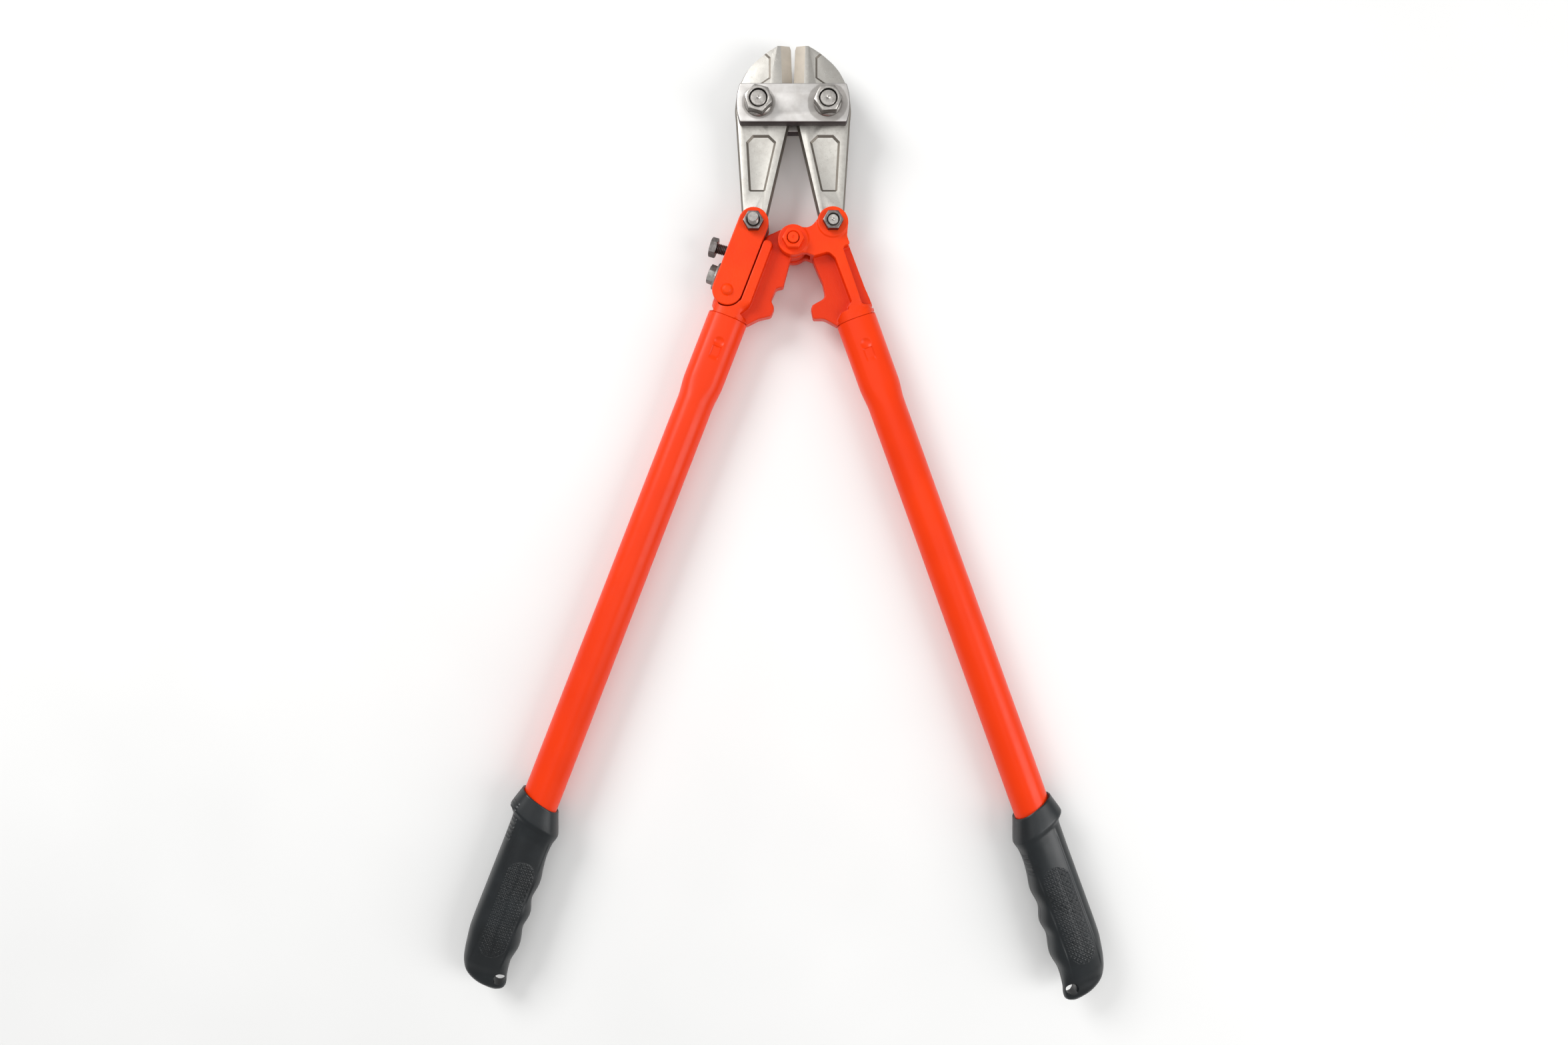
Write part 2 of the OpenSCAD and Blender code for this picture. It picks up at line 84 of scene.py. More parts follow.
def through(points, x):
    # the value at x of a smooth curve through a few (x, value) points
    if x <= points[0][0]:
        return points[0][1]
    for i in range(len(points) - 1):
        (x0, y0), (x1, y1) = points[i], points[i + 1]
        if x <= x1:
            before = points[i - 1] if i else points[i]
            after = points[i + 2] if i + 2 < len(points) else points[i + 1]
            m0 = (y1 - before[1]) / (x1 - before[0]) * (x1 - x0)
            m1 = (after[1] - y0) / (after[0] - x0) * (x1 - x0)
            t = (x - x0) / (x1 - x0)
            return ((2 * t ** 3 - 3 * t * t + 1) * y0 + (t ** 3 - 2 * t * t + t) * m0
                    + (3 * t * t - 2 * t ** 3) * y1 + (t ** 3 - t * t) * m1)
    return points[-1][1]


def smoothPath(points, steps):
    # the same points with a smooth curve between them
    path = []
    for i in range(len(points) - 1):
        a, b = Vector(points[i]), Vector(points[i + 1])
        before, after = Vector(points[max(i - 1, 0)]), Vector(points[min(i + 2, len(points) - 1)])
        for step in range(steps):
            t = step / steps
            bend = (2 * before - 5 * a + 4 * b - after) * t * t + (3 * a - before - 3 * b + after) * t ** 3
            path.append(tuple((2 * a + (b - before) * t + bend) / 2))
    return path + [points[-1]]


def settle(obj):
    # modifiers applied, by taking the evaluated mesh
    depsgraph = bpy.context.evaluated_depsgraph_get()
    made = bpy.data.meshes.new_from_object(obj.evaluated_get(depsgraph))
    obj.modifiers.clear()
    obj.data = made
    return obj


def newObject(bm, name, matrix=Matrix(), material=None):
    bmesh.ops.transform(bm, matrix=matrix, verts=bm.verts)
    bmesh.ops.recalc_face_normals(bm, faces=bm.faces)
    mesh = bpy.data.meshes.new(name)
    bm.to_mesh(mesh)
    bm.free()
    obj = bpy.data.objects.new(name, mesh)
    bpy.context.scene.collection.objects.link(obj)
    if material:
        mesh.materials.append(material)
    return obj


def shade(obj, angle):
    obj.data.shade_smooth()
    obj.data.set_sharp_from_angle(angle=math.radians(angle))
    return obj


def softenEdges(obj, width, segments=2, angle=30):
    bevel = obj.modifiers.new("edges", "BEVEL")
    bevel.width = width * 0.001
    bevel.segments = segments
    bevel.limit_method = "ANGLE"
    bevel.angle_limit = math.radians(angle)
    bevel.miter_outer = "MITER_ARC"
    return settle(obj)


def carve(obj, cutters, operation="DIFFERENCE"):
    for cutter in cutters:
        boolean = obj.modifiers.new("cut", "BOOLEAN")
        boolean.operation = operation
        boolean.solver = "EXACT"
        if obj.data.materials:
            boolean.material_mode = "TRANSFER"  # the cut faces keep the cutter's finish
        boolean.object = cutter
    settle(obj)
    for cutter in cutters:
        bpy.data.objects.remove(cutter)
    return obj


def mount(obj, body, node):
    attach(obj, body)
    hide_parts(node)


def outlineFace(bm, points, z=0):
    return bm.faces.new([bm.verts.new((x, y, z)) for x, y in points])


def arc(centre, radius, start, end, steps):
    angles = [math.radians(start + (end - start) * i / steps) for i in range(steps + 1)]
    return [(centre[0] + radius * math.cos(a), centre[1] + radius * math.sin(a)) for a in angles]


def extrudeUp(bm, face, height):
    made = bmesh.ops.extrude_face_region(bm, geom=[face])["geom"]
    bmesh.ops.translate(bm, vec=(0, 0, height), verts=[v for v in made if isinstance(v, bmesh.types.BMVert)])


def sunk(points, face, depth, slope, name, matrix, material):
    # a cutter for a hollow in that face, with walls that lean in by the slope
    bm = bmesh.new()
    extrudeUp(bm, outlineFace(bm, points, face + 0.02), 4)
    bmesh.ops.recalc_face_normals(bm, faces=bm.faces)
    bottom = min(bm.faces, key=lambda f: f.calc_center_median().z)
    bmesh.ops.inset_region(bm, faces=[bottom], thickness=slope, depth=depth, use_even_offset=True)
    return newObject(bm, name, matrix, material)


def rod(radius, low, high, name, matrix, material):
    bm = bmesh.new()
    bmesh.ops.create_cone(bm, cap_ends=True, segments=64, radius1=radius, radius2=radius, depth=high - low)
    bmesh.ops.translate(bm, vec=(0, 0, (low + high) / 2), verts=bm.verts)
    return newObject(bm, name, matrix, material)


def lathe(profile, steps):
    # a profile of (radius, height) points turned about Z, closed where it meets the axis
    bm = bmesh.new()
    verts = [bm.verts.new((r, 0, z)) for r, z in profile]
    edges = [bm.edges.new(pair) for pair in zip(verts, verts[1:])]
    bmesh.ops.spin(bm, geom=verts + edges, cent=(0, 0, 0), axis=(0, 0, 1), angle=2 * math.pi,
                   steps=steps, use_merge=True)
    bmesh.ops.remove_doubles(bm, verts=bm.verts, dist=0.001)
    return bm


def wrapGrid(around, stations, surface):
    # a grid rolled round into a tube: one row for each station
    bm = bmesh.new()
    bmesh.ops.create_grid(bm, x_segments=around, y_segments=len(stations) - 1, size=1)
    for vert in bm.verts:
        turn = round((vert.co.x + 1) / 2 * around) % around * 2 * math.pi / around
        row = round((vert.co.y + 1) / 2 * (len(stations) - 1))
        vert.co = surface(turn, stations[row])
    bmesh.ops.remove_doubles(bm, verts=bm.verts, dist=0.0005)
    return bm


def toLinear(hexColour):
    channels = [int(hexColour[i:i + 2], 16) / 255 for i in (1, 3, 5)]
    return [c / 12.92 if c <= 0.04045 else ((c + 0.055) / 1.055) ** 2.4 for c in channels] + [1]


def grains(size, detail=3.0, roughness=0.55):
    # settings for a noise on Object coordinates with features of that many mm
    return {"Scale": 1000 / size, "Detail": detail, "Roughness": roughness}


def addNode(material, kind, inputs=None, stops=None, out=0, **settings):
    # inputs are values, hex colours or other nodes' outputs; stops are those of a colour ramp
    node = material.node_tree.nodes.new("ShaderNode" + kind)
    for key, value in settings.items():
        setattr(node, key, value)
    for key, value in (inputs or {}).items():
        if isinstance(value, bpy.types.NodeSocket):
            material.node_tree.links.new(value, node.inputs[key])
        else:
            node.inputs[key].default_value = toLinear(value) if isinstance(value, str) else value
    for i, (place, colour) in enumerate(stops or []):
        stop = node.color_ramp.elements[i]
        stop.position = place
        stop.color = toLinear(colour) if isinstance(colour, str) else (colour, colour, colour, 1)
    return node.outputs[out]


def layOver(material, under, mask, strength, over):
    # one colour or value over another, where the mask is bright
    share = addNode(material, "Math", {0: mask, 1: strength}, operation="MULTIPLY")
    return addNode(material, "Mix", {0: share, 6: under, 7: over}, out=2, data_type="RGBA")


def newMaterial(name, metallic, roughness, **uniform):
    material = bpy.data.materials.new(name)
    material.use_nodes = True
    shader = material.node_tree.nodes["Principled BSDF"]
    shader.inputs["Metallic"].default_value = metallic
    shader.inputs["Roughness"].default_value = roughness
    for key, value in uniform.items():
        shader.inputs[key.replace("_", " ")].default_value = value
    return material, shader, addNode(material, "TexCoord", out="Object")


def finishMaterial(material, shader, tone, rough, bumps):
    # bumps are (height, depth in mm) pairs, the coarsest first
    links = {"Base Color": tone, "Roughness": rough, "Normal": None}
    for height, depth in bumps:
        inputs = {"Height": height, "Strength": 1.0, "Distance": depth * 0.001}
        if links["Normal"]:
            inputs["Normal"] = links["Normal"]
        links["Normal"] = addNode(material, "Bump", inputs)
    for key, source in links.items():
        material.node_tree.links.new(source, shader.inputs[key])
    return material


# the web and hollow tones are painted shade on the castings' low parts
paint = {"orange": "#F23A00", "light": "#FA4200", "web": "#D22A00", "hollowShade": "#A81E00", "thin": "#FF5A20",
         "chip": "#5A1E0C", "tube": "#EC3600", "tubeLight": "#F63C00", "scuff": "#D63A14",
         "castGrain": 1.1, "castPeel": 3.5, "tubePeel": 2.6}  # sizes in mm


def castEnamel():
    # stoving enamel sprayed over sand-cast iron: gloss softened by the casting's grain
    material, shader, coords = newMaterial("enamelOnCastIron", 0.0, 0.36, Coat_Weight=0.05,
                                           Coat_Roughness=0.22, Specular_IOR_Level=0.22)
    broad = addNode(material, "TexNoise", {"Vector": coords, **grains(28, 2)})
    grain = addNode(material, "TexNoise", {"Vector": coords, **grains(paint["castGrain"], 4, 0.6)})
    peel = addNode(material, "TexNoise", {"Vector": coords, **grains(paint["castPeel"], 2)})
    tone = addNode(material, "ValToRGB", {"Fac": broad}, [(0.3, paint["orange"]), (0.7, paint["light"])])
    edges = addNode(material, "NewGeometry", out="Pointiness")
    # painted shade in the hollows, where pointiness is low
    hollow = addNode(material, "ValToRGB", {"Fac": edges}, [(0.40, 1.0), (0.485, 0.0)])
    crest = addNode(material, "ValToRGB", {"Fac": edges}, [(0.52, 0.0), (0.60, 1.0)])
    # painted shade on the webs: darker near the middle plane, where they lie low between the ribs
    height = addNode(material, "SeparateXYZ", {"Vector": coords}, out="Z")
    above = addNode(material, "Math", {0: height, 1: headCentre.z}, operation="SUBTRACT")
    depth = addNode(material, "Math", {0: above}, operation="ABSOLUTE")
    webs = addNode(material, "Math", {0: depth, 1: 50}, operation="MULTIPLY")
    webs = addNode(material, "ValToRGB", {"Fac": webs}, [(0.36, 1.0), (0.62, 0.0)])
    tone = layOver(material, tone, webs, 0.6, paint["web"])  # painted shade on the webs
    tone = layOver(material, tone, hollow, 0.65, paint["hollowShade"])
    tone = layOver(material, tone, crest, 0.35, paint["thin"])
    nicks = addNode(material, "TexNoise", {"Vector": coords, **grains(2.2, 5, 0.75)})
    nicks = addNode(material, "ValToRGB", {"Fac": nicks}, [(0.755, 0.0), (0.775, 1.0)])
    tone = layOver(material, tone, nicks, 1, paint["chip"])  # a few nicks with dirt in them
    rough = addNode(material, "TexNoise", {"Vector": coords, **grains(9, 4)})
    rough = addNode(material, "ValToRGB", {"Fac": rough}, [(0.25, 0.30), (0.75, 0.48)])
    return finishMaterial(material, shader, tone, rough, [(peel, 0.2), (grain, 0.16), (nicks, -0.05)])


def tubeEnamel():
    # the same enamel on drawn steel tube: smooth, with a faint orange peel and handling scuffs
    material, shader, coords = newMaterial("enamelOnSteelTube", 0.0, 0.34, Coat_Weight=0.05,
                                           Coat_Roughness=0.2, Specular_IOR_Level=0.22)
    broad = addNode(material, "TexNoise", {"Vector": coords, **grains(60, 2)})
    peel = addNode(material, "TexNoise", {"Vector": coords, **grains(paint["tubePeel"], 2)})
    along = addNode(material, "Mapping", {"Vector": coords, "Scale": (1, 0.12, 1)})
    scuff = addNode(material, "TexNoise", {"Vector": along, **grains(5, 6, 0.7)})
    scuff = addNode(material, "ValToRGB", {"Fac": scuff}, [(0.60, 0.0), (0.74, 1.0)])
    tone = addNode(material, "ValToRGB", {"Fac": broad}, [(0.3, paint["tube"]), (0.7, paint["tubeLight"])])
    tone = layOver(material, tone, scuff, 0.18, paint["scuff"])
    rough = addNode(material, "TexNoise", {"Vector": coords, **grains(14, 4)})
    rough = addNode(material, "ValToRGB", {"Fac": rough}, [(0.25, 0.28), (0.75, 0.42)])
    return finishMaterial(material, shader, tone, rough, [(peel, 0.035), (scuff, -0.01)])


steel = {"face": "#D9D6CF", "faceDark": "#CBC7C0", "skin": "#837D75", "ringDark": "#8F8983", "pit": "#86807A",
         "bevel": "#C9BFB1", "bevelDark": "#BFB6A9", "plate": "#E4E1DE", "plateDark": "#CFCBC7",
         "plateSideShade": "#4A4243", "leftRing": 0.84}


def flatMask(material, low, high):
    # 1 on the faces that lie flat, 0 on the walls between them
    normal = addNode(material, "TexCoord", out="Normal")
    upright = addNode(material, "SeparateXYZ", {"Vector": normal}, out="Z")
    flatness = addNode(material, "Math", {0: upright}, operation="ABSOLUTE")
    return addNode(material, "ValToRGB", {"Fac": flatness}, [(low, 0.0), (high, 1.0)])


def ringDarkening(material, coords, radius, soft):
    # darker in a soft disc round each pivot nut, smaller round the left one
    masks = []
    for name, share in (("blade_left_pivot", steel["leftRing"]), ("blade_right_pivot", 1)):
        spot = joints[name]
        shifted = addNode(material, "Mapping", {"Vector": coords, "Location": (-spot.x, -spot.y, 0),
                                                "Scale": (1, 1, 0)})
        distance = addNode(material, "VectorMath", {0: shifted}, out="Value", operation="LENGTH")
        wobble = addNode(material, "TexNoise", {"Vector": coords, **grains(7, 2)})
        wobble = addNode(material, "Math", {0: wobble, 1: 0.0016}, operation="MULTIPLY")
        reach = addNode(material, "Math", {0: distance, 1: wobble}, operation="ADD")
        near = addNode(material, "Math", {0: reach, 1: 2 * radius * share * 0.001}, operation="DIVIDE")
        masks.append(addNode(material, "ValToRGB", {"Fac": near}, [(0.5 - soft, 1.0), (0.5, 0.0)]))
    return addNode(material, "Math", {0: masks[0], 1: masks[1]}, operation="MAXIMUM")


def forgedSteel():
    # drop-forged alloy steel, flats ground and tumbled, walls left with their grey forging skin, made darker
    # still as painted shade
    material, shader, coords = newMaterial("forgedSteelTumbled", 1.0, 0.42)
    mottle = addNode(material, "TexNoise", {"Vector": coords, **grains(4.5, 5, 0.65)})
    fine = addNode(material, "TexNoise", {"Vector": coords, **grains(0.5, 2)})
    pits = addNode(material, "TexNoise", {"Vector": coords, **grains(0.9, 3, 0.6)})
    pits = addNode(material, "ValToRGB", {"Fac": pits}, [(0.60, 0.0), (0.72, 1.0)])
    face = addNode(material, "ValToRGB", {"Fac": mottle}, [(0.3, steel["faceDark"]), (0.6, steel["face"])])
    face = layOver(material, face, pits, 0.30, steel["pit"])
    face = layOver(material, face, ringDarkening(material, coords, 17.5, 0.05), 0.35, steel["ringDark"])
    flats = flatMask(material, 0.9, 0.985)
    # the walls' skin tone is partly real forging skin and partly painted shade
    tone = layOver(material, steel["skin"], flats, 1, face)
    ground = addNode(material, "ValToRGB", {"Fac": mottle}, [(0.3, 0.46), (0.7, 0.36)])
    rough = layOver(material, (0.55, 0.55, 0.55, 1), flats, 1, ground)
    return finishMaterial(material, shader, tone, rough, [(mottle, 0.05), (pits, -0.04), (fine, 0.012)])


def groundBevel():
    # the cutting bevels, surface-ground across the edge after hardening: straw tint and fine grinding lines
    material, shader, coords = newMaterial("groundEdgeSteel", 0.2, 0.5)
    across = addNode(material, "Mapping", {"Vector": coords, "Scale": (0.12, 1, 0.12)})
    lines = addNode(material, "TexNoise", {"Vector": across, **grains(0.8, 4, 0.7)})
    tint = addNode(material, "TexNoise", {"Vector": coords, **grains(6, 4)})
    tone = addNode(material, "ValToRGB", {"Fac": tint}, [(0.3, steel["bevelDark"]), (0.7, steel["bevel"])])
    rough = addNode(material, "ValToRGB", {"Fac": lines}, [(0.3, 0.42), (0.7, 0.58)])
    return finishMaterial(material, shader, tone, rough, [(lines, 0.02)])


def plateSteel():
    # blanked and tumbled sheet steel, darker in a soft disc round each nut, with painted shade on its side
    # faces
    material, shader, coords = newMaterial("tumbledPlateSteel", 0.8, 0.5)
    mottle = addNode(material, "TexNoise", {"Vector": coords, **grains(8, 4)})
    fine = addNode(material, "TexNoise", {"Vector": coords, **grains(0.7, 3)})
    tone = addNode(material, "ValToRGB", {"Fac": mottle}, [(0.3, steel["plateDark"]), (0.65, steel["plate"])])
    tone = layOver(material, tone, ringDarkening(material, coords, 16, 0.03), 0.55, steel["ringDark"])
    # painted shade: the faces that don't lie flat get the dark side tone
    tone = layOver(material, steel["plateSideShade"], flatMask(material, 0.55, 0.93), 1, tone)
    rough = addNode(material, "ValToRGB", {"Fac": fine}, [(0.3, 0.46), (0.7, 0.56)])
    return finishMaterial(material, shader, tone, rough, [(mottle, 0.03), (fine, 0.01)])


zincTones = {"dark": "#A9A5A0", "light": "#CFCBC6", "screwDark": "#6E6865", "screwLight": "#979190",
             "corner": "#3C3A39", "flankShade": "#45413F"}


def platedSteel(name, dark, light, smooth, dull):
    # barrel plating on hot-forged fasteners: soft grey with handling marks, with painted shade on the flanks
    # and in the corners
    material, shader, coords = newMaterial(name, 1.0, 0.38)
    mottle = addNode(material, "TexNoise", {"Vector": coords, **grains(2.4, 5, 0.7)})
    fine = addNode(material, "TexNoise", {"Vector": coords, **grains(0.5, 3)})
    edges = addNode(material, "NewGeometry", out="Pointiness")
    # painted shade in the corners, where pointiness is low
    corners = addNode(material, "ValToRGB", {"Fac": edges}, [(0.36, 0.7), (0.48, 0.0)])
    tone = addNode(material, "ValToRGB", {"Fac": mottle}, [(0.35, dark), (0.65, light)])
    tone = layOver(material, tone, corners, 1, zincTones["corner"])
    # painted shade: the flanks, which don't lie flat, are darkened
    shadedFlanks = layOver(material, tone, 0.75, 1, zincTones["flankShade"])
    tone = layOver(material, shadedFlanks, flatMask(material, 0.25, 0.8), 1, tone)
    rough = addNode(material, "ValToRGB", {"Fac": mottle}, [(0.3, dull), (0.7, smooth)])
    return finishMaterial(material, shader, tone, rough, [(mottle, 0.025), (fine, 0.01)])


pvc = {"black": "#090E11", "worn": "#10171B", "dust": "#2B3338"}


def gripPvc():
    # semi-matt black PVC moulding with a fine spark-eroded grain
    material, shader, coords = newMaterial("mouldedBlackPvc", 0.0, 0.42, IOR=1.52)
    grain = addNode(material, "TexNoise", {"Vector": coords, **grains(0.55, 3, 0.6)})
    broad = addNode(material, "TexNoise", {"Vector": coords, **grains(22, 4)})
    dust = addNode(material, "TexNoise", {"Vector": coords, **grains(3, 5, 0.7)})
    dust = addNode(material, "ValToRGB", {"Fac": dust}, [(0.55, 0.0), (0.8, 1.0)])
    tone = addNode(material, "ValToRGB", {"Fac": broad}, [(0.3, pvc["black"]), (0.7, pvc["worn"])])
    tone = layOver(material, tone, dust, 0.22, pvc["dust"])
    rough = addNode(material, "ValToRGB", {"Fac": broad}, [(0.25, 0.32), (0.75, 0.43)])
    return finishMaterial(material, shader, tone, rough, [(grain, 0.03)])


castPaint = castEnamel()
tubePaint = tubeEnamel()
bladeSteel = forgedSteel()
bevelSteel = groundBevel()
sheetSteel = plateSteel()
zinc = platedSteel("dullZincPlate", zincTones["dark"], zincTones["light"], 0.30, 0.46)
darkScrew = platedSteel("phosphatedScrew", zincTones["screwDark"], zincTones["screwLight"], 0.34, 0.5)
blackPvc = gripPvc()
print("materials ready")


# crown points run from the tip out to the shoulder beside the pivot, and are measured from its axis
blade = {"crown": [(-13.5, 47), (-12.5, 46.2), (-9.5, 44.5), (-4.5, 41.2), (0.5, 37.2), (5.5, 32.6),
                   (9.5, 27.5), (13.4, 20), (15.7, 13.8), (17, 8), (17.7, 2), (17.9, -3), (17.3, -10)],
         "reach": 47.0, "closing": 1.96, "edgeGap": 0.03, "bevelFrom": 14, "bevelWidth": 8, "bevelLong": 60,
         "draft": 1.45, "parting": 1.1, "tail": 11.2, "panelDepth": 1.6, "panelSlope": 1.7, "stepDepth": 0.9,
         "stepSlope": 1.5, "edgeLand": 0.3, "softEdge": 0.28, "pivotBore": 6.05, "toggleBore": 4.05}


def edgeX(y):
    # the cutting edge, open by the closing angle
    a = math.radians(blade["closing"])
    return pivotX * (1 - math.cos(a)) + y * math.sin(a) + blade["edgeGap"]


def bladeOutline():
    reach, tail = blade["reach"], blade["tail"]
    rim = [(pivotX + x, y) for x, y in smoothPath(blade["crown"], 4)]
    low = -toggleDrop
    end = arc((toggleX, low), tail, 25, -207, 30)
    return ([(edgeX(reach) + 0.9, reach)] + rim + [(toggleX + 9.1, low + 10)] + end
            + [(pivotX - 21.4, -18), (2.1, -9), (2.1, 9), (edgeX(14), 14), (edgeX(reach - 2.6), reach - 2.6)])


def panelOutline():
    low = -toggleDrop + 24.5
    return [(toggleX + 3.7, low + 1), (toggleX + 2.5, low), (toggleX - 7.5, low), (toggleX - 8.7, low + 1),
            (pivotX - 13, -26), (pivotX - 7.5, -20.7), (pivotX + 4.5, -20.7), (pivotX + 9.5, -26)]


def fanOutline():
    # the lower step on the outer side of the cutting head
    return [(20.2, 60), (20.2, 40.2), (16.6, 37), (16.6, 21.6), (23.5, 16.8), (23.5, 12), (60, 12), (60, 60)]


def makeBlade(side, node, name):
    half, place = arms["bladeHalf"], headFrame(side)
    bm = bmesh.new()
    extrudeUp(bm, outlineFace(bm, bladeOutline()), blade["parting"])
    bmesh.ops.recalc_face_normals(bm, faces=bm.faces)
    top = max(bm.faces, key=lambda f: f.calc_center_median().z)
    bmesh.ops.inset_region(bm, faces=[top], thickness=blade["draft"], depth=half - blade["parting"],
                           use_even_offset=True)
    base = [f for f in bm.faces if abs(f.calc_center_median().z) < 1e-6]
    bmesh.ops.delete(bm, geom=base, context="FACES_ONLY")
    bmesh.ops.mirror(bm, geom=bm.verts[:] + bm.edges[:] + bm.faces[:], axis="Z", merge_dist=0.001)
    obj = newObject(bm, name, place, bladeSteel)
    land, high = blade["edgeLand"], half + 0.01
    wedge = [(-4, land), (0, land), (blade["bevelWidth"], high), (-4, high)]
    alongEdge = (Matrix.Translation((edgeX(0), blade["bevelFrom"], 0))
                 @ Matrix.Rotation(math.radians(-blade["closing"]), 4, "Z")
                 @ Matrix.Rotation(math.radians(90), 4, "X")
                 @ Matrix.Translation((0, 0, -blade["bevelLong"])))
    cutters = []
    for face in (1, -1):
        turned = place @ Matrix.Diagonal((1, 1, face, 1))
        cutters.append(sunk(panelOutline(), half, blade["panelDepth"], blade["panelSlope"], "panelCutter",
                            turned, bladeSteel))
        cutters.append(sunk(fanOutline(), half, blade["stepDepth"], blade["stepSlope"], "stepCutter",
                            turned, bladeSteel))
        bm = bmesh.new()
        extrudeUp(bm, outlineFace(bm, wedge), blade["bevelLong"])
        cutters.append(newObject(bm, "bevelCutter", turned @ alongEdge, bevelSteel))
    for x, y, radius in ((pivotX, 0, blade["pivotBore"]), (toggleX, -toggleDrop, blade["toggleBore"])):
        cutters.append(rod(radius, -9, 9, "boreCutter", place @ Matrix.Translation((x, y, 0)), bladeSteel))
    carve(obj, cutters)
    softenEdges(obj, blade["softEdge"], 2, 24)
    mount(shade(obj, 32), node, node)


makeBlade(-1, "blade_left", "forgedBladeLeft")
makeBlade(1, "blade_right", "forgedBladeRight")
print("blades done")


plate = {"radius": 41.8, "halfHeight": 14.3, "bore": 6.05, "softEdge": 0.9}


def makePlate(node, name):
    low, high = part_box(node)
    bottom, top = (low.z - headCentre.z) * 1000, (high.z - headCentre.z) * 1000
    radius, corner = plate["radius"], math.degrees(math.asin(plate["halfHeight"] / plate["radius"]))
    points = arc((0, 0), radius, -corner, corner, 14) + arc((0, 0), radius, 180 - corner, 180 + corner, 14)
    bm = bmesh.new()
    extrudeUp(bm, outlineFace(bm, points, bottom), top - bottom)
    obj = newObject(bm, name, headFrame(), sheetSteel)
    carve(obj, [rod(plate["bore"], bottom - 2, top + 2, "plateHole",
                    headFrame() @ Matrix.Translation((x, 0, 0)), sheetSteel) for x in (-pivotX, pivotX)])
    softenEdges(obj, plate["softEdge"], 3, 50)
    mount(shade(obj, 34), "head", node)


makePlate("head_plate_front", "headPlateFront")
makePlate("head_plate_rear", "headPlateRear")
print("head plates done")


def hexBody(acrossFlats, low, high, turn, topChamfer=True, bottomChamfer=False, hole=0, dish=0):
    # a hexagon with its corners turned off to a cone, as forged nuts and heads have
    bm = bmesh.new()
    corner = acrossFlats / 2 / math.cos(math.radians(30))
    # 1 mm longer at each end than the envelope, because faces that lie in one plane can spoil the cut
    bmesh.ops.create_cone(bm, cap_ends=True, segments=6, radius1=corner, radius2=corner, depth=high - low + 2)
    bmesh.ops.rotate(bm, verts=bm.verts, cent=(0, 0, 0), matrix=Matrix.Rotation(math.radians(turn), 3, "Z"))
    bmesh.ops.translate(bm, vec=(0, 0, (low + high) / 2), verts=bm.verts)
    body = newObject(bm, "hexBody")
    drop = (corner - acrossFlats / 2) * 0.62
    rim, wide = acrossFlats / 2 * 0.97, corner + 0.4
    profile = [(0, high)] + ([(rim, high), (wide, high - drop)] if topChamfer else [(wide, high)])
    profile += [(wide, low + drop), (rim, low), (0, low)] if bottomChamfer else [(wide, low), (0, low)]
    # 74 sides set none of the envelope's edges on a corner of the hexagon
    carve(body, [newObject(lathe(profile, 74), "hexEnvelope")], "INTERSECT")
    if hole:
        bore = [(0, low - 1), (hole, low - 1), (hole, high - dish * 2), (hole + dish * 3, high + dish),
                (0, high + dish)]
        carve(body, [newObject(lathe(bore, 64), "hexBore")])
    return body


def threadedShank(radius, pitch, low, high, tip):
    # the thread is one coil of a row of teeth, merged where the turns meet
    root, crest = radius - pitch * 0.54, radius - pitch * 0.54 * 0.12
    profile = []
    for i in range(int((high - low) / pitch) + 2):
        base = low + (i - 1) * pitch
        profile += [(root, base), (crest, base + pitch * 0.44), (crest, base + pitch * 0.56)]
    bm = bmesh.new()
    verts = [bm.verts.new((r, 0, z)) for r, z in profile]
    edges = [bm.edges.new(pair) for pair in zip(verts, verts[1:])]
    bmesh.ops.spin(bm, geom=verts + edges, cent=(0, 0, 0), axis=(0, 0, 1), dvec=(0, 0, pitch / 48),
                   angle=2 * math.pi, steps=48)
    bmesh.ops.remove_doubles(bm, verts=bm.verts, dist=0.02)
    for plane, outward in ((high, 1), (low, -1)):
        bmesh.ops.bisect_plane(bm, geom=bm.verts[:] + bm.edges[:] + bm.faces[:], plane_co=(0, 0, plane),
                               plane_no=(0, 0, outward), clear_outer=True)
    bmesh.ops.holes_fill(bm, edges=[e for e in bm.edges if e.is_boundary], sides=0)
    for vert in bm.verts:  # the lead-in at the bolt's end
        reach = math.hypot(vert.co.x, vert.co.y)
        limit = radius - max(0, tip - (high - vert.co.z)) * 0.9
        if reach > limit:
            vert.co.x *= limit / reach
            vert.co.y *= limit / reach
    return newObject(bm, "thread")


def plainShank(radius, low, high, dimple=0.0, chamfer=0.6):
    profile = [(0, low), (radius, low), (radius, high - chamfer), (radius - chamfer, high)]
    if dimple:  # left by the lathe's centre
        profile += [(dimple + 0.25, high), (dimple * 0.6, high - 0.45), (0, high - 0.7)]
    else:
        profile += [(0, high)]
    return newObject(lathe(profile, 64), "shank")


def joinPieces(name, pieces, place, material):
    bm = bmesh.new()
    for piece in pieces:
        bm.from_mesh(piece.data)
        bpy.data.objects.remove(piece)
    return newObject(bm, name, place, material)


def topOf(node):
    return (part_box(node)[1].z - headCentre.z) * 1000


pivotFastener = {"acrossFlats": 18, "flange": 10.6, "height": 10, "bore": 6.7, "shank": 6.0,
                 "headHeight": 5.2, "leftTurn": 15, "rightTurn": -25}


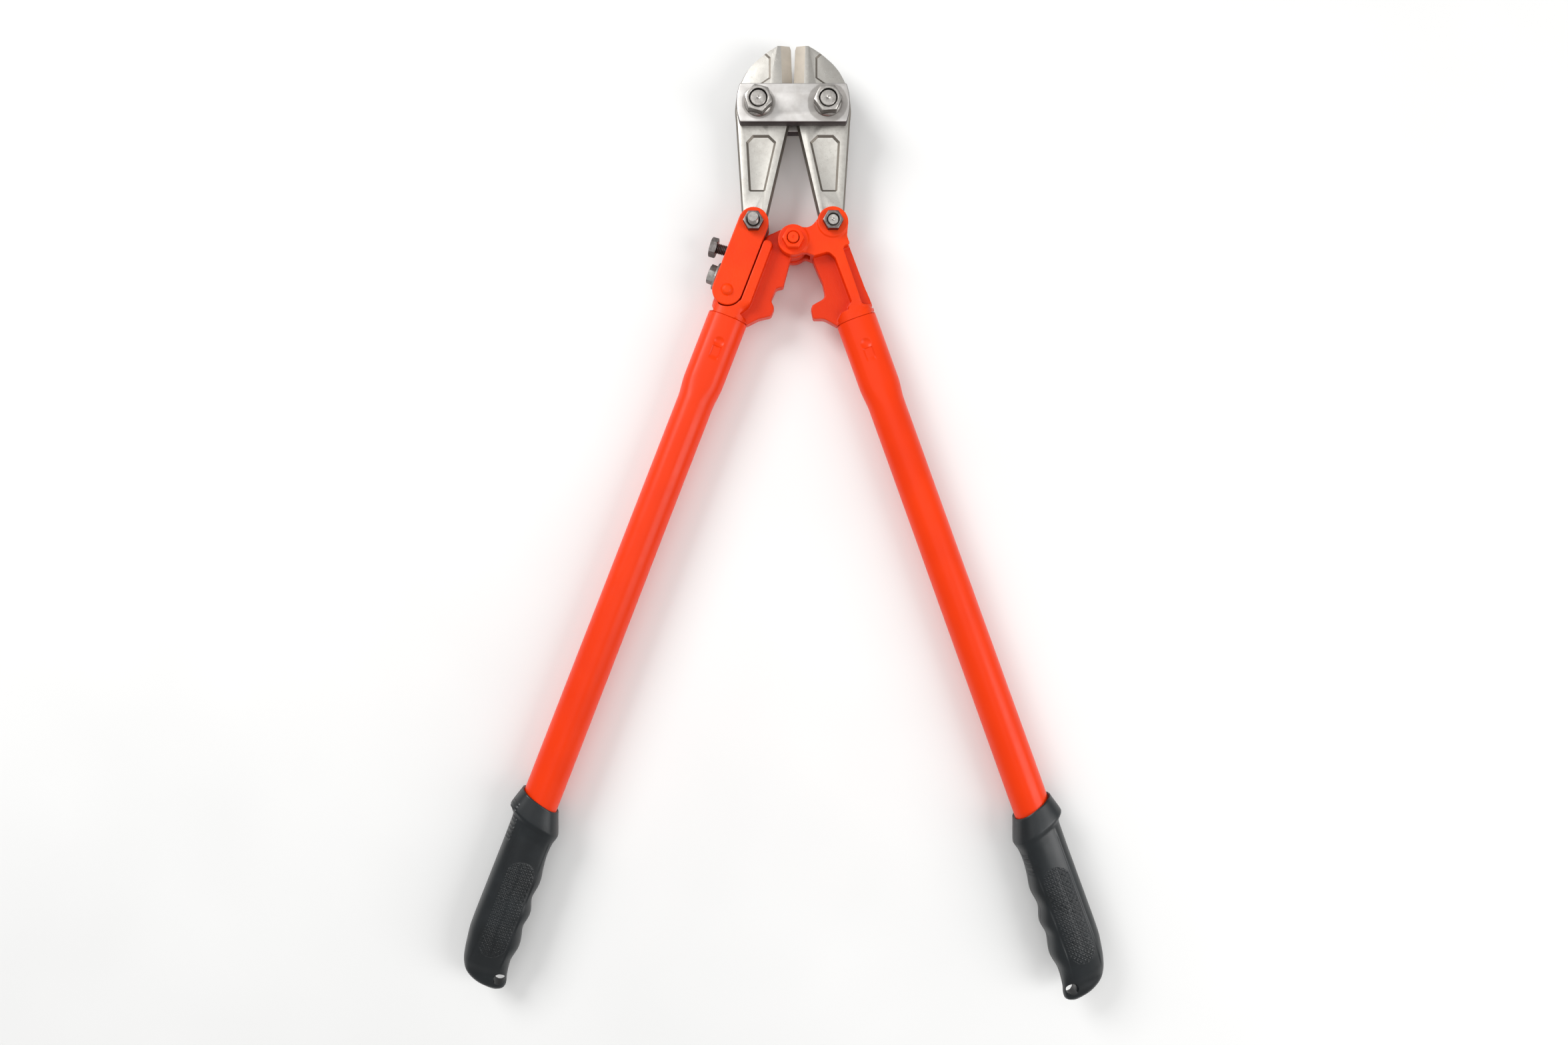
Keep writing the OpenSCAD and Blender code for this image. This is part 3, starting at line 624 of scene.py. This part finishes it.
def makePivot(side, turn, label):
    place = headFrame() @ Matrix.Translation((side * pivotX, 0, 0))
    across, flange, bore = pivotFastener["acrossFlats"], pivotFastener["flange"], pivotFastener["bore"]
    seat = topOf("head_plate_front")
    top = seat + pivotFastener["height"]
    profile = [(bore, seat), (flange - 0.2, seat), (flange, seat + 0.3), (flange - 0.15, seat + 0.9),
               (across / 2 + 0.2, seat + 2.4), (bore + 0.5, seat + 3.2), (bore, seat + 3.2), (bore, seat)]
    nut = joinPieces("flangedNut" + label, [hexBody(across, seat + 0.6, top, turn, hole=bore, dish=0.22),
                                            newObject(lathe(profile, 80), "flange")], place, zinc)
    softenEdges(nut, 0.22)
    mount(shade(nut, 30), "head", "pivot_nut_" + label.lower())
    bolt = joinPieces("pivotBolt" + label, [
        plainShank(pivotFastener["shank"], -seat, top - 0.35, 1.2),
        hexBody(across, -seat - pivotFastener["headHeight"], -seat, 12, False, True)], place, zinc)
    softenEdges(bolt, 0.2)
    mount(shade(bolt, 30), "head", "pivot_bolt_" + label.lower())


makePivot(-1, pivotFastener["leftTurn"], "Left")
makePivot(1, pivotFastener["rightTurn"], "Right")

smallFastener = {"acrossFlats": 13, "height": 6.5, "shank": 4, "pitch": 1.25, "headHeight": 5.3, "turn": 30,
                 "centreAcross": 14, "discRise": 1.2}


def makeNutAndBolt(label, x, y, seat, across, body, nodes, nutMaterial, boltMaterial, threaded=False):
    place = headFrame() @ Matrix.Translation((x, y, 0))
    radius, turn = smallFastener["shank"], smallFastener["turn"]
    top, end = seat + smallFastener["height"], topOf(nodes[1])
    nut = joinPieces(label + "Nut", [hexBody(across, seat, top, turn, hole=radius + 0.45, dish=0.3)],
                     place, nutMaterial)
    softenEdges(nut, 0.2)
    mount(shade(nut, 30), body, nodes[0])
    if threaded:
        pieces = [threadedShank(radius, smallFastener["pitch"], top - 2.5, end, 0.8),
                  plainShank(radius - 0.2, -seat, top - 2.5)]
    else:
        pieces = [plainShank(radius, -seat, end, 0.9, 0.5)]
    pieces.append(hexBody(across, -seat - smallFastener["headHeight"], -seat, turn, False, True))
    bolt = joinPieces(label + "Bolt", pieces, place, boltMaterial)
    mount(shade(bolt, 32), body, nodes[1])


ear, disc = arms["earFace"], arms["earFace"] + smallFastener["discRise"]
makeNutAndBolt("toggleLeft", -toggleX, -toggleDrop, ear, smallFastener["acrossFlats"], "link_left",
               ("toggle_nut_left", "toggle_bolt_left"), darkScrew, zinc, threaded=True)
makeNutAndBolt("toggleRight", toggleX, -toggleDrop, disc, smallFastener["acrossFlats"], "handle_right",
               ("toggle_nut_right", "toggle_bolt_right"), darkScrew, zinc)
makeNutAndBolt("centre", 0, centreY, disc, smallFastener["centreAcross"], "handle_right",
               ("centre_nut", "centre_bolt"), castPaint, castPaint)
washers = frame["nodes"]["thrust_washers"].data.materials  # they keep their CAD shape
washers.clear()
washers.append(zinc)
print("pivot, toggle and centre fasteners done")


cast = {"linkVoxel": 0.45, "linkSmooth": 5, "linkKeep": 0.6, "armVoxel": 0.5, "armSmooth": 6, "armKeep": 0.55}


def castCopy(node, name, voxel, smooth, keep):
    # the CAD solid with its edges and inner corners rounded over, as sand casting leaves them
    bm = bmesh.new()
    bm.from_mesh(frame["nodes"][node].data)
    bmesh.ops.remove_doubles(bm, verts=bm.verts, dist=0.000005)
    obj = newObject(bm, name)
    skin = obj.modifiers.new("skin", "REMESH")
    skin.mode = "VOXEL"
    skin.voxel_size = voxel * 0.001
    soften = obj.modifiers.new("round", "SMOOTH")
    soften.factor = 0.5
    soften.iterations = smooth
    obj.modifiers.new("reduce", "DECIMATE").ratio = keep
    settle(obj)
    obj.data.materials.append(castPaint)
    obj.data.shade_smooth()
    return obj


link = castCopy("adjuster_link", "adjusterLink", cast["linkVoxel"], cast["linkSmooth"], cast["linkKeep"])
mount(link, "link_left", "adjuster_link")

rivet = {"face": arms["earFace"], "proud": 2.6, "radius": 4.5, "shank": 3.9}


def makeRivet():
    face, top = rivet["face"], rivet["face"] + rivet["proud"]
    head = [(0, top), (2.2, top), (2.9, top - 0.3), (4.0, face + 0.7), (rivet["radius"], face - 0.1)]
    profile = head + [(rivet["shank"], face - 0.4), (rivet["shank"], 0.4 - face)]
    profile += [(r, -z) for r, z in reversed(head)]
    place = Matrix.Translation(joints["jaw_adjuster"]) @ Matrix.Diagonal((0.001, 0.001, 0.001, 1))
    obj = newObject(lathe(profile, 64), "linkRivet", place, castPaint)
    mount(shade(obj, 50), "link_left", "link_rivet")


makeRivet()

# up is from the rivet along the link, out is from the link's outer face to the head
screws = {"linkHalf": 11.2, "across": 13, "headHeight": 5.3, "shank": 4, "pitch": 1.25,
          "adjustUp": 29, "adjustTilt": 5, "adjustOut": 8.6, "adjustTurn": 8, "adjustIn": 4.8,
          "lockUp": 8.6, "lockOut": 2.2, "lockTurn": 20, "lockIn": 14}


def screwFrame(up, tilt):
    # z points outwards along a screw, from the link's outer face
    rivetInArm = armFrame(-1).inverted() @ joints["jaw_adjuster"]
    return (armFrame(-1) @ Matrix.Translation((rivetInArm.x - screws["linkHalf"], rivetInArm.y - up, 0))
            @ Matrix.Rotation(math.radians(180 - tilt), 4, "Z") @ Matrix.Rotation(math.radians(90), 4, "Y"))


def makeScrews():
    across, tall, radius = screws["across"], screws["headHeight"], screws["shank"]
    out = screws["adjustOut"]
    pieces = [hexBody(across, out, out + tall, screws["adjustTurn"], True, True),
              threadedShank(radius, screws["pitch"], -screws["adjustIn"], out + 0.3, 0)]
    place = screwFrame(screws["adjustUp"], screws["adjustTilt"])
    screw = joinPieces("adjustingScrew", pieces, place, darkScrew)
    mount(shade(screw, 32), "adjusting_screw", "adjusting_screw")
    place, out = screwFrame(screws["lockUp"], 0), screws["lockOut"]
    lock = joinPieces("lockBolt", [hexBody(across, out, out + tall, screws["lockTurn"], True, True),
                                   plainShank(radius, -screws["lockIn"], out + 0.3)], place, zinc)
    softenEdges(lock, 0.18)
    mount(shade(lock, 32), "lock_bolt", "lock_bolt")
    profile = [(4.3, 0.5), (10.1, 0.5), (10.35, 0.75), (10.35, 1.9), (10.1, 2.1), (4.5, 2.1), (4.3, 1.9),
               (4.3, 0.5)]
    washer = newObject(lathe(profile, 80), "lockWasher", place, zinc)
    mount(shade(washer, 32), "handle_left", "lock_washer")


makeScrews()
print("adjuster done")


seam = {"flat": 2.35, "radius": 12.85, "from": 53, "to": 63, "webHalf": 6.3}


def makeCasting(side, body, node, name):
    obj = castCopy(node, name, cast["armVoxel"], cast["armSmooth"], cast["armKeep"])
    place = armFrame(side)
    back = place.inverted()
    for vert in obj.data.vertices:  # the square base is dressed down to the tube's oval where the two meet
        spot = back @ vert.co
        if spot.y < seam["from"] or (spot.x > 0 and abs(spot.z) < seam["webHalf"]):
            continue
        over = max(0, abs(spot.x) - seam["flat"])
        distance = math.hypot(over, spot.z)
        if distance > seam["radius"]:
            share = 1 + (seam["radius"] / distance - 1) * smoothStep(seam["from"], seam["to"], spot.y)
            spot.x = math.copysign(min(abs(spot.x), seam["flat"]) + over * share, spot.x)
            spot.z *= share
            vert.co = place @ spot
    mount(obj, body, node)


makeCasting(-1, "handle_left", "casting_left", "castingLeft")
makeCasting(1, "handle_right", "casting_right", "castingRight")
print("castings done")


tube = {"seam": 69.5, "swageWidth": 30.3, "swageThick": 25.6, "swageEnd": 119.5, "roundFrom": 138,
        "radius": 13.75, "spread": 0.3, "end": 560, "wall": 1.8, "around": 176, "fineTo": 145,
        "fineStep": 0.55, "coarseRows": 90}
# the lance that locks the tube to the tang: a round dimple above a pocket that runs out
lance = {"at": 98.5, "leftU": 1.5, "rightU": 0.5, "dimple": 1.5, "dimpleUp": 8.4, "dimpleRadius": 4.2,
         "pocket": 0.95}


def makeTube(side, body, node, name):
    lanceU = lance["leftU"] if side < 0 else lance["rightU"]
    seamAt, fineTo = tube["seam"], tube["fineTo"]
    stations = [("in", seamAt + 9), ("in", seamAt + 0.5), ("lip", seamAt + 0.15)]
    rows = [seamAt + 0.5 + i * tube["fineStep"] for i in range(int((fineTo - seamAt) / tube["fineStep"]))]
    rows += [fineTo + i * (tube["end"] - fineTo) / tube["coarseRows"] for i in range(tube["coarseRows"] + 1)]
    stations += [("out", v) for v in rows]

    def surface(turn, station):
        kind, v = station
        blend = smoothStep(tube["swageEnd"], tube["roundFrom"], v)
        thick = tube["swageThick"] / 2
        flat = (tube["swageWidth"] / 2 - thick) * (1 - blend)
        radius = thick + (tube["radius"] - thick) * blend + tube["spread"] * smoothStep(200, 450, v)
        radius -= tube["wall"] * {"in": 1, "lip": 0.25, "out": 0}[kind]
        c, s = math.cos(turn), math.sin(turn)
        u, z = radius * c + flat * max(-1, min(1, c * 2.2)), radius * s
        if kind == "out" and s > 0.3:
            across, along = u - lanceU, v - lance["at"]
            middle = math.hypot(across, along + lance["dimpleUp"]) / lance["dimpleRadius"]
            dimple = lance["dimple"] * max(0, 1 - middle ** 2)
            pocket = (1 - smoothStep(2.9, 3.6, abs(across))) * smoothStep(-5.4, -4.7, along)
            z -= dimple + lance["pocket"] * pocket * (1 - smoothStep(1.5, 6, along))
        return Vector((u, v, z))

    bm = wrapGrid(tube["around"], stations, surface)
    bmesh.ops.holes_fill(bm, edges=[e for e in bm.edges if e.is_boundary], sides=0)  # both ends are hidden
    mount(shade(newObject(bm, name, armFrame(side), tubePaint), 45), body, node)


makeTube(-1, "handle_left", "tube_left", "handleTubeLeft")
makeTube(1, "handle_right", "tube_right", "handleTubeRight")
print("tubes done")


# back, front and half are (place down the arm, size) points along the skin, in mm
grip = {"back": [(452, -14.9), (456.2, -15.6), (471.2, -19.7), (472.6, -19.4), (475.5, -15.9), (482, -15.1),
                 (520, -15.1), (560, -15.1), (570, -14.0), (582, -12.0), (590, -9.4), (596, -4.9),
                 (600.5, 3.5), (602.4, 12.0)],
        "front": [(452, 14.9), (456.2, 15.4), (471.4, 21.6), (473.4, 21.4), (480, 19.9), (495, 19.3),
                  (505, 20.2), (516, 21.8), (529, 20.3), (540.5, 23.3), (551, 21.8), (565.5, 24.4),
                  (578, 22.4), (590, 23.6), (597, 25.4), (600.5, 24.4), (602.4, 21.0)],
        "half": [(452, 14.8), (456.2, 15.0), (471.2, 16.6), (473.0, 16.2), (476, 15.4), (540, 15.6),
                 (562, 15.4), (574, 13.8), (584, 10.4), (591, 7.6), (597, 6.6), (600.6, 5.2), (602.4, 3.0)],
        "top": 456.4, "end": 602.4, "squareness": 2.5, "slant": 0.30, "bore": 14.1, "hollow": 0.55,
        "partingLine": 0.22, "leftRoll": 12, "rightRoll": -8, "around": 240, "row": 0.75, "fineRow": 0.32}
# the pitch is across the diamonds
knurl = {"centre": 4.6, "radius": 10.4, "from": 501, "to": 576, "pitch": 2.9, "depth": 1.0}
thumbRibs = {"left": (155, 466, 490), "right": (18, 484, 503), "pitch": 2.6, "height": 0.7}  # turn, from, to
hangHole = {"u": 19.2, "v": 593.4, "radius": 4.3}


def knurlHeight(u, v):
    # diamonds with a raised edge and a low crown, in a long patch with round ends
    radius, pitch = knurl["radius"], knurl["pitch"]
    across = u - knurl["centre"]
    along = max(knurl["from"] + radius - v, 0, v - (knurl["to"] - radius))
    distance = math.hypot(across, along)
    if distance >= radius + 0.5:
        return 0
    a, b = across * 0.74 + v * 0.67, across * 0.74 - v * 0.67
    diamond = min(abs(math.sin(math.pi * a / pitch)), abs(math.sin(math.pi * b / pitch))) ** 0.7
    return knurl["depth"] * (1 - smoothStep(radius - 0.5, radius + 0.5, distance)) * abs(diamond - 0.55)


def ribHeight(turn, v, ribs):
    ribTurn, ribFrom, ribTo = ribs
    if not ribFrom < v < ribTo:
        return 0
    wave = max(0, math.sin((v - ribFrom) * 2 * math.pi / thumbRibs["pitch"])) ** 0.7
    return thumbRibs["height"] * (1 - smoothStep(13, 19, abs(math.degrees(turn) - ribTurn))) * wave


def makeGrip(side, body, node, name):
    roll = grip["leftRoll"] if side < 0 else grip["rightRoll"]
    ribs = thumbRibs["left"] if side < 0 else thumbRibs["right"]
    top, end = grip["top"], grip["end"]
    stations = [("bore", top + 7), ("bore", top + 0.6), ("rim", top + 0.1)]
    v = top + 0.5
    while v < end - 0.1:  # short steps where the knurl is
        stations.append(("skin", v))
        v += grip["fineRow"] if knurl["from"] - 1 < v < knurl["to"] + 1 else grip["row"]
    stations.append(("skin", end))

    def surface(turn, station):
        kind, v = station
        back, front, half = (through(grip[edge], v) for edge in ("back", "front", "half"))
        middle, reach = (back + front) / 2, (front - back) / 2
        turn += 0.25 * math.sin(2 * turn)  # more of the grid on the two faces
        c, s = math.cos(turn), math.sin(turn)
        power = 2 / grip["squareness"]
        if kind == "bore":
            middle, reach, half, power = 0, grip["bore"], grip["bore"], 1
        elif kind == "rim":
            middle, reach, half = middle * 0.6, reach - 0.45, half - 0.35
        u = middle + reach * math.copysign(abs(c) ** power, c)
        z = half * math.copysign(abs(s) ** power, s)
        if kind == "skin":
            if abs(s) > 0.35:  # the flats on both faces, a little hollow, with the knurl on them
                panel = smoothStep(474, 484, v) * (1 - smoothStep(576, 588, v))
                panel *= 1 - smoothStep(11.2, 12.6, abs(u - knurl["centre"]))
                z += math.copysign(1, z) * (knurlHeight(u, v) - grip["hollow"] * panel)
            push = ribHeight(math.atan2(s, c), v, ribs)
            u, z = u + push * c, z + push * s
            if abs(s) < 1e-6:
                u += math.copysign(grip["partingLine"], c)  # left by the mould's two halves
        return Vector((u, v + grip["slant"] * (1 - smoothStep(474, 498, v)) * u, z))

    bm = wrapGrid(grip["around"], stations, surface)
    bmesh.ops.holes_fill(bm, edges=[e for e in bm.edges if e.is_boundary], sides=0)
    place = armFrame(side) @ Matrix.Rotation(math.radians(roll), 4, "Y")
    obj = newObject(bm, name, place, blackPvc)
    radius = hangHole["radius"]
    profile = [(0, -14), (radius + 3, -14), (radius + 1.2, -7.8), (radius, -6.4), (radius, 6.4),
               (radius + 1.2, 7.8), (radius + 3, 14), (0, 14)]
    spot = Matrix.Translation((hangHole["u"], hangHole["v"], 0))
    carve(obj, [newObject(lathe(profile, 64), "hangHole", place @ spot, blackPvc)])
    mount(shade(obj, 50), body, node)


makeGrip(-1, "handle_left", "grip_left", "gripLeft")
makeGrip(1, "handle_right", "grip_right", "gripRight")
print("grips done")


# the camera is placed from the head's centre, the lights from the middle of the floor, in metres
stage = {"camera": (-0.00675, -0.30945, 0.843), "lens": 25.8, "world": 0.42,
         "floor": ("#F4F4F3", "#F8F8F7"),
         "lights": {"softboxUpperLeft": ((-1.25, 1.15, 1.3), (1.0, 0.9), 25),  # place, size, watts
                    "softboxRight": ((1.4, -0.4, 1.2), (0.8, 1.4), 15),
                    "overhead": ((-0.2, 0.2, 2.2), (1.8, 1.8), 8)}}


def makeFloor():
    # matt white-painted board
    bm = bmesh.new()
    bmesh.ops.create_grid(bm, x_segments=8, y_segments=8, size=6)
    material, shader, coords = newMaterial("paleFloor", 0.0, 0.75)
    broad = addNode(material, "TexNoise", {"Vector": coords, **grains(180, 2)})
    tone = addNode(material, "ValToRGB", {"Fac": broad}, [(0.3, stage["floor"][0]), (0.7, stage["floor"][1])])
    material.node_tree.links.new(tone, shader.inputs["Base Color"])
    newObject(bm, "floor", Matrix.Translation((0, 0, -0.0004)), material)


def makeLight(name, place, size, watts):
    data = bpy.data.lights.new(name, "AREA")
    data.shape = "RECTANGLE"
    data.size, data.size_y = size
    data.energy = watts
    light = bpy.data.objects.new(name, data)
    light.location = place
    light.rotation_euler = (-Vector(place)).to_track_quat("-Z", "Y").to_euler()
    bpy.context.scene.collection.objects.link(light)


makeFloor()
for lightName, (place, size, watts) in stage["lights"].items():
    makeLight(lightName, place, size, watts)

world = bpy.data.worlds.new("studio")
world.use_nodes = True
world.node_tree.nodes["Background"].inputs["Color"].default_value = (1, 1, 1, 1)
world.node_tree.nodes["Background"].inputs["Strength"].default_value = stage["world"]
bpy.context.scene.world = world
bpy.context.scene.view_settings.view_transform = "Standard"

cameraData = bpy.data.cameras.new("camera")
cameraData.lens = stage["lens"]
cameraData.sensor_width = 36
cameraData.clip_start = 0.02
camera = bpy.data.objects.new("camera", cameraData)
camera.location = headCentre + Vector(stage["camera"])
bpy.context.scene.collection.objects.link(camera)
bpy.context.scene.camera = camera
print("stage done")
